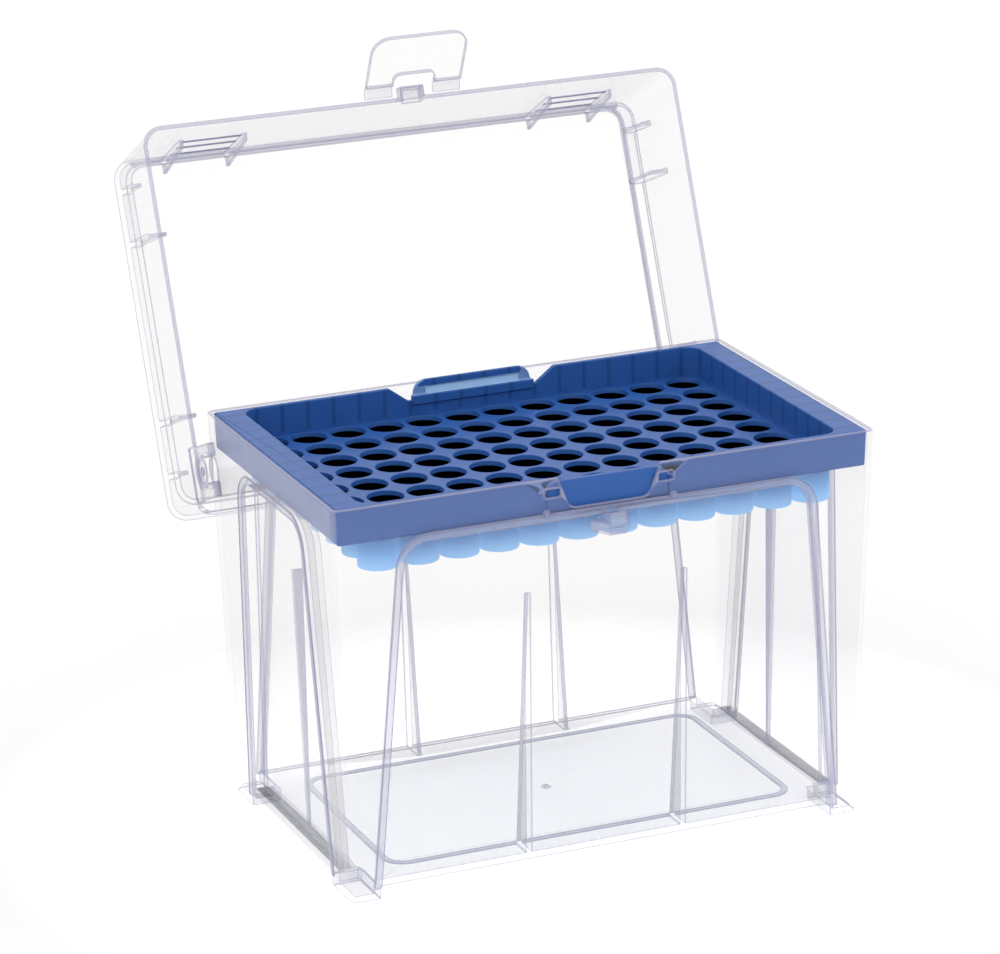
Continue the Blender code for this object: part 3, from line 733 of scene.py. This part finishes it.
class TIPBOX_OT_tray_frame(bpy.types.Operator):
    """Make the tray's flange, apron, well walls, dips and grips"""
    bl_idname = "tipbox.tray_frame"
    bl_label = "Tray Frame"

    def execute(self, context):
        moulding = context.scene.tipbox_moulding

        def at(sx, sy, sz):
            z = TRAY_TOP if sz > 0 else TRAY_LOW
            return (sx * tray_half(HALF_X, z), sy * tray_half(HALF_Y, z), z)

        tray = block("tray_frame_round", at, upright, moulding.corner - TRAY_GAP, moulding.steps)
        well_y = well_half_y()
        tools = [box("well", (-WELL_X, -well_y, TRAY_LOW - 2), (WELL_X, well_y, TRAY_TOP + 2),
                     upright, WELL_CORNER, moulding.steps)]
        grips = []
        for side, rise in ((-1, -1.1), (1, 1.0)):
            xs = sorted((side * (WELL_X + WELL_WALL), side * (tray_half(HALF_X, TRAY_LOW) - WELL_WALL)))
            tools.append(box("hollow", (xs[0], -well_y, TRAY_LOW - 2), (xs[1], well_y, TRAY_TOP - 1.0)))

            def dip_at(sx, sy, sz, side=side):
                low, high = DIP_HALF
                half = high + (high - low) * 2 / DIP_DEPTH if sz > 0 else low
                return (sx * half, side * (HALF_Y + 2 if sy * side > 0 else well_y - 2),
                        TRAY_TOP + 2 if sz > 0 else TRAY_TOP - DIP_DEPTH)
            tools.append(block("dip", dip_at))
            outer = tray_half(HALF_Y, TRAY_TOP - DIP_DEPTH)
            deep, bottom = (1.5, TRAY_TOP - 7.6) if side < 0 else (0.8, TRAY_TOP - 4.4)
            ys = sorted((side * (outer + 0.05), side * (outer - deep)))
            grips.append(box("grip", (-GRIP_HALF, ys[0], bottom), (GRIP_HALF, ys[1], TRAY_TOP + rise),
                             top_along_y, 3.0, 8))
            if side > 0:
                grips.append(box("ledge", (-14.6, ys[0] - 0.9, TRAY_TOP - 4.4),
                                 (14.6, ys[0] + 0.3, TRAY_TOP - 2.2)))
                cut(grips[-2], box("pane", (-PANE_HALF, ys[0] - 1, TRAY_TOP - DIP_DEPTH),
                                   (PANE_HALF, ys[0] + 0.35, TRAY_TOP - 0.6)))
        cut(tray, *tools)
        join(tray, *grips)
        soften(tray, 0.3, 3)
        mark_thin(tray, well_y)
        place(tray, "base", nodes=("tray_frame",), slot="blue",
              finish=blue_plastic(context.scene.tipbox_finish))
        return {"FINISHED"}


def plate_tree(name):
    """Node tree of the tip plate: a flat plate with a grid of round holes, and a round-lipped tube in
    each hole.
    """
    tree = bpy.data.node_groups.new(name, "GeometryNodeTree")
    inputs = {}
    kinds = {"Columns": "Int", "Rows": "Int", "Pitch": "Float", "Hole": "Float", "Tube Wall": "Float",
             "Sides": "Int", "Width": "Float", "Depth": "Float", "Corner": "Float",
             "Thickness": "Float", "Tube Length": "Float", "Top": "Float", "Material": "Material"}
    for label, kind in kinds.items():
        socket = tree.interface.new_socket(label, in_out="INPUT", socket_type="NodeSocket" + kind)
        inputs[label] = socket.identifier
    tree.interface.new_socket("Geometry", in_out="OUTPUT", socket_type="NodeSocketGeometry")
    start = tree.nodes.new("NodeGroupInput")
    end = tree.nodes.new("NodeGroupOutput")

    def node(kind, **values):
        made = tree.nodes.new(kind)
        for key, value in values.items():
            setattr(made, key, value)
        return made

    def step(operation, a, b):
        return math_node(tree, operation, a, b)

    def get(label):
        return start.outputs[label]

    def link(a, b):
        tree.links.new(a, b)

    # Places
    grid = node("GeometryNodeMeshGrid")
    link(step("MULTIPLY", step("SUBTRACT", get("Columns"), 1), get("Pitch")), grid.inputs["Size X"])
    link(step("MULTIPLY", step("SUBTRACT", get("Rows"), 1), get("Pitch")), grid.inputs["Size Y"])
    link(get("Columns"), grid.inputs["Vertices X"])
    link(get("Rows"), grid.inputs["Vertices Y"])
    places = node("GeometryNodeMeshToPoints")
    link(grid.outputs["Mesh"], places.inputs["Mesh"])

    # Plate
    rim = node("GeometryNodeCurvePrimitiveQuadrilateral")
    link(get("Width"), rim.inputs["Width"])
    link(get("Depth"), rim.inputs["Height"])
    fillet = node("GeometryNodeFilletCurve", mode="POLY")
    fillet.inputs["Count"].default_value = 6
    link(rim.outputs["Curve"], fillet.inputs["Curve"])
    link(get("Corner"), fillet.inputs["Radius"])
    hole = node("GeometryNodeCurvePrimitiveCircle")
    link(get("Sides"), hole.inputs["Resolution"])
    link(step("ADD", get("Hole"), step("MULTIPLY", get("Tube Wall"), 0.5)), hole.inputs["Radius"])
    holes = node("GeometryNodeInstanceOnPoints")
    link(places.outputs["Points"], holes.inputs["Points"])
    link(hole.outputs["Curve"], holes.inputs["Instance"])
    outline = node("GeometryNodeJoinGeometry")
    link(fillet.outputs["Curve"], outline.inputs["Geometry"])
    real_holes = node("GeometryNodeRealizeInstances")
    link(holes.outputs["Instances"], real_holes.inputs["Geometry"])
    link(real_holes.outputs["Geometry"], outline.inputs["Geometry"])
    fill = node("GeometryNodeFillCurve")
    link(outline.outputs["Geometry"], fill.inputs["Curve"])
    up = node("ShaderNodeCombineXYZ")
    link(step("MULTIPLY", get("Thickness"), -1.0), up.inputs["Z"])
    extrude = node("GeometryNodeExtrudeMesh", mode="FACES")
    extrude.inputs["Individual"].default_value = False
    link(fill.outputs["Mesh"], extrude.inputs["Mesh"])
    link(up.outputs["Vector"], extrude.inputs["Offset"])
    plate = node("GeometryNodeJoinGeometry")
    link(extrude.outputs["Mesh"], plate.inputs["Geometry"])
    link(fill.outputs["Mesh"], plate.inputs["Geometry"])
    weld = node("GeometryNodeMergeByDistance")
    weld.inputs["Distance"].default_value = 0.0005
    link(plate.outputs["Geometry"], weld.inputs["Geometry"])

    # Tube
    profile = node("GeometryNodeCurvePrimitiveQuadrilateral")
    link(get("Tube Wall"), profile.inputs["Width"])
    link(get("Tube Length"), profile.inputs["Height"])
    lip = node("GeometryNodeFilletCurve", mode="POLY")
    lip.inputs["Count"].default_value = 2
    link(profile.outputs["Curve"], lip.inputs["Curve"])
    link(step("MULTIPLY", get("Tube Wall"), 0.42), lip.inputs["Radius"])
    ring = node("GeometryNodeCurvePrimitiveCircle")
    link(get("Sides"), ring.inputs["Resolution"])
    link(step("ADD", get("Hole"), step("MULTIPLY", get("Tube Wall"), 0.5)), ring.inputs["Radius"])
    tube = node("GeometryNodeCurveToMesh")
    link(ring.outputs["Curve"], tube.inputs["Curve"])
    link(lip.outputs["Curve"], tube.inputs["Profile Curve"])
    down = node("ShaderNodeCombineXYZ")
    link(step("ADD", step("MULTIPLY", get("Tube Length"), -0.5), 0.03), down.inputs["Z"])
    lower = node("GeometryNodeTransform")
    link(tube.outputs["Mesh"], lower.inputs["Geometry"])
    link(down.outputs["Vector"], lower.inputs["Translation"])
    tubes = node("GeometryNodeInstanceOnPoints")
    link(places.outputs["Points"], tubes.inputs["Points"])
    link(lower.outputs["Geometry"], tubes.inputs["Instance"])

    # Together
    both = node("GeometryNodeJoinGeometry")
    link(weld.outputs["Geometry"], both.inputs["Geometry"])
    link(tubes.outputs["Instances"], both.inputs["Geometry"])
    real = node("GeometryNodeRealizeInstances")
    link(both.outputs["Geometry"], real.inputs["Geometry"])
    raised = node("GeometryNodeTransform")
    lift = node("ShaderNodeCombineXYZ")
    link(get("Top"), lift.inputs["Z"])
    link(real.outputs["Geometry"], raised.inputs["Geometry"])
    link(lift.outputs["Vector"], raised.inputs["Translation"])
    paint = node("GeometryNodeSetMaterial")
    link(raised.outputs["Geometry"], paint.inputs["Geometry"])
    link(get("Material"), paint.inputs["Material"])
    link(paint.outputs["Geometry"], end.inputs["Geometry"])
    return tree, inputs


class TIPBOX_OT_tip_plate(bpy.types.Operator):
    """Make the plate with its grid of holes and tubes"""
    bl_idname = "tipbox.tip_plate"
    bl_label = "Tip Plate"

    def execute(self, context):
        tray = context.scene.tipbox_tray
        finish = blue_plastic(context.scene.tipbox_finish)
        made = bpy.data.objects.new("tip_plate_round", bpy.data.meshes.new("tip_plate_round"))
        context.scene.collection.objects.link(made)
        tree, inputs = plate_tree("Tip Plate")
        modifier = made.modifiers.new("Tip Plate", "NODES")
        modifier.node_group = tree
        values = {"Columns": tray.columns, "Rows": tray.rows, "Pitch": tray.pitch, "Hole": tray.hole,
                  "Tube Wall": tray.tube_wall, "Sides": tray.sides, "Width": 2 * WELL_X + 0.1,
                  "Depth": 2 * well_half_y() + 0.1, "Corner": WELL_CORNER,
                  "Thickness": PLATE_THICKNESS, "Tube Length": TUBE_LENGTH, "Top": PLATE_TOP,
                  "Material": finish}
        for label, value in values.items():
            modifier[inputs[label]] = value
        settle(made)
        bm = bmesh.new()
        bm.from_mesh(made.data)
        bmesh.ops.recalc_face_normals(bm, faces=bm.faces)
        bm.to_mesh(made.data)
        bm.free()
        made.data.shade_smooth()
        made.data.set_sharp_from_angle(angle=math.radians(40))
        place(made, "base", nodes=("tip_plate",), slot="blue", finish=finish)
        return {"FINISHED"}


# Clear lid and latch

def lid_form(name, inset, bottom, steps):
    """The lid's outer form, or the space inside it. Its panel lies closer to the front than to the
    ends and the hinge.
    """
    shoulder = LID_TOP - LID_STEP

    def tier(end, front_in, back_in, low, high):
        def at(sx, sy, sz):
            z = high if sz > 0 else low
            up = z - LID_BOTTOM
            front = LID_FRONT + inset + front_in + LID_FRONT_DRAFT * up
            back = LID_BACK - inset - back_in - LID_REAR_DRAFT * up
            return (sx * (LID_X - inset - end - LID_END_DRAFT * up), back if sy > 0 else front, z)
        return at

    corner = LID_CORNER - inset
    form = block(name, tier(0.0, 0.0, 0.0, bottom, shoulder - inset), upright, corner, steps)
    panel = block("panel", tier(*LID_PANEL_IN, shoulder - inset - 0.5, LID_TOP - inset),
                  upright, corner, steps)
    return join(form, panel)


def lid_ribs(wall):
    """Gussets under the lid's front wall, and slim ribs on its end walls, all above the closed base's rim."""
    low, high = BASE_TOP + 0.8, LID_TOP - LID_STEP - 0.5
    made = []
    for x in (-52.0, -37.0, 37.0, 52.0):
        def front_at(sx, sy, sz, x=x):
            z = high if sz > 0 else low
            inner = LID_FRONT + wall + LID_FRONT_DRAFT * (z - LID_BOTTOM)
            return (x + sx * 0.5, inner + ((3.2 if sz > 0 else 1.8) if sy > 0 else -0.5), z)
        made.append(block("rib", front_at))
    for side in (-1, 1):
        for up in (12.0, 16.5, 21.5):
            def line_at(sx, sy, sz, side=side, up=up):
                z = LID_BOTTOM + up + sz * 0.15
                inner = LID_FRONT + wall + LID_FRONT_DRAFT * (z - LID_BOTTOM)
                return (side * 44.5 + sx * 7.3, inner + (0.22 if sy > 0 else -0.4), z)
            made.append(block("line", line_at))
    middle = (LID_FRONT + LID_BACK) / 2
    for side in (-1, 1):
        for y, depths, start in ((-20.3, (4.4, 3.0), low), (20.3, (4.4, 3.0), low),
                                 (-32.3, (2.0, 2.4), low + 5.0), (32.3, (2.0, 2.4), low + 5.0)):
            def end_at(sx, sy, sz, side=side, y=y, depths=depths, start=start):
                z = high if sz > 0 else start
                inner = LID_X - wall - LID_END_DRAFT * (z - LID_BOTTOM)
                depth = depths[1] if sz > 0 else depths[0]
                return (side * (inner + 0.5 if sx * side > 0 else inner - depth), middle + y + sy * 0.5, z)
            made.append(block("rib", end_at))
    return made


class TIPBOX_OT_lid(bpy.types.Operator):
    """Make the clear lid with its raised panel, ribs, snap forks and pocket"""
    bl_idname = "tipbox.lid"
    bl_label = "Clear Lid"

    def execute(self, context):
        moulding = context.scene.tipbox_moulding
        wall, steps = moulding.wall, moulding.steps
        lid = lid_form("clear_lid", 0.0, LID_BOTTOM, steps)
        inside = lid_form("inside", wall, LID_BOTTOM - 2.0, steps)
        rear = box("rear_cut", (-LID_X - 2, AXIS_Y + FORK_BACK, LID_BOTTOM - 2),
                   (LID_X + 2, LID_BACK + 2, LID_BOTTOM + 6.9),
                   lambda one, other: one[1:] == other[1:] == (-1, 1), 4.0, 8)
        cut(lid, inside, rear)
        extra = lid_ribs(wall)
        tools = []
        for side in (-1, 1):
            inner = HALF_X + FORK_PLAY
            xs = sorted((side * inner, side * LID_X))
            extra.append(box("fork", (xs[0], AXIS_Y - FORK_FRONT, AXIS_Z - 7.0),
                             (xs[1], AXIS_Y + FORK_BACK, LID_BOTTOM + 3.0)))
            past = sorted((side * (inner - 0.35), side * (LID_X + 2)))
            tools.append(cylinder_x("eye", AXIS_Y, AXIS_Z, *past, EYE_RADIUS))
            tools.append(box("mouth", (past[0], AXIS_Y - 2.7, AXIS_Z - 9.0),
                             (past[1], AXIS_Y + 2.7, AXIS_Z)))
        front = -base_half(HALF_Y, CATCH_TOP) - 0.3 - 3.9 - 0.4
        outside = POCKET_HALF + POCKET_WALL
        extra.append(box("pocket", (-outside, front - POCKET_WALL, LID_BOTTOM),
                         (outside, LID_FRONT + wall / 2, CATCH_TOP + 1.0)))
        tools.append(box("pocket_inside", (-POCKET_HALF, front, LID_BOTTOM - 2),
                         (POCKET_HALF, LID_FRONT + wall + 2, CATCH_TOP + 0.4)))
        join(lid, *extra)
        cut(lid, *tools)
        soften(lid, moulding.edge)
        place(lid, "lid", turn=opened_lid(), nodes=("lid",),
              finish=clear_plastic(context.scene.tipbox_finish))
        return {"FINISHED"}


class TIPBOX_OT_latch(bpy.types.Operator):
    """Make the latch flap and the two thin straps that it bends on"""
    bl_idname = "tipbox.latch"
    bl_label = "Latch Flap"

    def execute(self, context):
        finish = clear_plastic(context.scene.tipbox_finish)
        top = FLAP_Z - FLAP_DROP
        flap = box("latch_flap_round", (-FLAP_HALF, FLAP_Y - FLAP_HALF_THICK, top - FLAP_LENGTH),
                   (FLAP_HALF, FLAP_Y + FLAP_HALF_THICK, top), bottom_along_y, 4.2, 8)
        cut(flap, box("slot", (-FLAP_SLOT_HALF, FLAP_Y - 3, top - 2.9),
                      (FLAP_SLOT_HALF, FLAP_Y + 3, top + 2), bottom_along_y, 1.4, 5))
        soften(flap, 0.25)
        turn = opened_lid() @ turned(-FLAP_OPEN, FLAP_Y, FLAP_Z)
        place(flap, "latch", turn=turn, nodes=("latch_flap",), finish=finish)
        strap_turn = opened_lid() @ turned(-(math.pi - LID_OPEN), FLAP_Y, FLAP_Z)
        for side, word in ((-1, "left"), (1, "right")):
            xs = sorted((side * FLAP_SLOT_HALF, side * FLAP_HALF))
            strap = box(f"strap_{word}", (xs[0], FLAP_Y - STRAP_HALF_THICK, FLAP_Z - STRAP_REACH),
                        (xs[1], FLAP_Y + STRAP_HALF_THICK, FLAP_Z + STRAP_REACH))
            soften(strap, 0.08)
            place(strap, "lid", turn=strap_turn, nodes=(f"flap_strap_{word}",), finish=finish)
        return {"FINISHED"}


# Stage

class TIPBOX_OT_stage(bpy.types.Operator):
    """Make the floor, the white surround, the lights and the camera"""
    bl_idname = "tipbox.stage"
    bl_label = "Stage"

    def execute(self, context):
        stage = context.scene.tipbox_stage
        bm = bmesh.new()
        bmesh.ops.create_grid(bm, x_segments=1, y_segments=1, size=6.0)
        floor = new_object("floor", bm)
        paint = bpy.data.materials.new("floor_paint")
        paint.use_nodes = True
        shader = paint.node_tree.nodes["Principled BSDF"]
        shader.inputs["Base Color"].default_value = (*stage.floor, 1.0)
        shader.inputs["Roughness"].default_value = 0.9
        shader.inputs["Specular IOR Level"].default_value = 0.0
        shader.inputs["Emission Color"].default_value = (1.0, 1.0, 1.0, 1.0)
        # Painted light: the floor's emission is strongest round the box and gone further out, lifting the
        # shade there
        place_at = add_node(paint.node_tree, "ShaderNodeTexCoord", -1100)
        away = add_node(paint.node_tree, "ShaderNodeVectorMath", -900, operation="DISTANCE")
        away.inputs[1].default_value = (0.0, MIDDLE_Y, 0.0)
        paint.node_tree.links.new(place_at.outputs["Object"], away.inputs[0])
        fade = add_range(paint.node_tree, away.outputs["Value"], *FLOOR_PAINTED_LIGHT_RADII,
                         stage.glow, 0.0)
        paint.node_tree.links.new(fade, shader.inputs["Emission Strength"])
        floor.data.materials.append(paint)
        world = bpy.data.worlds.new("surround")
        context.scene.world = world
        world.use_nodes = True
        sky = world.node_tree.nodes["Background"]
        sky.inputs["Color"].default_value = (1, 1, 1, 1)
        sky.inputs["Strength"].default_value = stage.world
        for name, at, size, power in (("key", (-0.55, -0.75, 1.1), 0.7, stage.key),
                                      ("fill", (0.9, -0.3, 0.8), 0.7, stage.key * 0.35),
                                      ("back", (0.1, 0.9, 1.0), 0.6, stage.key * 0.4)):
            light = bpy.data.lights.new(name, "AREA")
            light.size = size
            light.energy = power
            lamp = bpy.data.objects.new(name, light)
            context.scene.collection.objects.link(lamp)
            lamp.location = at
            aim = Vector((0, 0, 0.06)) - Vector(at)
            lamp.rotation_euler = aim.to_track_quat("-Z", "Y").to_euler()
        context.scene.view_settings.view_transform = "Standard"
        self.camera(context, stage)
        return {"FINISHED"}

    def camera(self, context, stage):
        az, el = -stage.azimuth, stage.elevation
        back = Vector((math.sin(az) * math.cos(el), -math.cos(az) * math.cos(el), math.sin(el)))
        right = Vector((math.cos(az), math.sin(az), 0))
        up = back.cross(right)
        across = math.cos(stage.roll) * right + math.sin(stage.roll) * up
        above = -math.sin(stage.roll) * right + math.cos(stage.roll) * up
        data = bpy.data.cameras.new("camera")
        data.sensor_fit = "HORIZONTAL"
        data.sensor_width = 36.0
        data.lens = stage.lens
        data.clip_start = 0.05
        data.clip_end = 20.0
        camera = bpy.data.objects.new("camera", data)
        context.scene.collection.objects.link(camera)
        middle = Vector((0, MIDDLE_Y, PLATE_TOP * MM))
        left, down = CAMERA_SHIFT
        place_at = middle + stage.distance * back - left * across - down * above
        turn = Matrix((across, above, back)).transposed()
        camera.matrix_world = Matrix.Translation(place_at) @ turn.to_4x4()
        context.scene.camera = camera


class TIPBOX_PT_panel(bpy.types.Panel):
    """Buttons and settings of the tip box"""
    bl_idname = "TIPBOX_PT_panel"
    bl_label = "Tip Box"
    bl_space_type = "VIEW_3D"
    bl_region_type = "UI"
    bl_category = "Tip Box"

    def draw(self, context):
        layout = self.layout
        for group in ("tipbox_moulding", "tipbox_tray", "tipbox_finish", "tipbox_stage"):
            settings = getattr(context.scene, group)
            column = layout.column(align=True)
            for name in settings.__annotations__:
                column.prop(settings, name)
        for operator in OPERATORS:
            layout.operator(operator.bl_idname)


GROUPS = {"tipbox_moulding": TipBoxMoulding, "tipbox_tray": TipBoxTray,
          "tipbox_finish": TipBoxFinish, "tipbox_stage": TipBoxStage}
OPERATORS = (TIPBOX_OT_base, TIPBOX_OT_tray_frame, TIPBOX_OT_tip_plate, TIPBOX_OT_lid, TIPBOX_OT_latch,
             TIPBOX_OT_stage)


def register():
    for made in (*GROUPS.values(), *OPERATORS, TIPBOX_PT_panel):
        bpy.utils.register_class(made)
    for name, group in GROUPS.items():
        setattr(bpy.types.Scene, name, PointerProperty(type=group))


def unregister():
    for name in GROUPS:
        delattr(bpy.types.Scene, name)
    for made in reversed((*GROUPS.values(), *OPERATORS, TIPBOX_PT_panel)):
        bpy.utils.unregister_class(made)


def main():
    register()
    for operator in (bpy.ops.tipbox.base, bpy.ops.tipbox.tray_frame, bpy.ops.tipbox.tip_plate,
                     bpy.ops.tipbox.lid, bpy.ops.tipbox.latch, bpy.ops.tipbox.stage):
        operator()


if __name__ == "__main__":
    main()
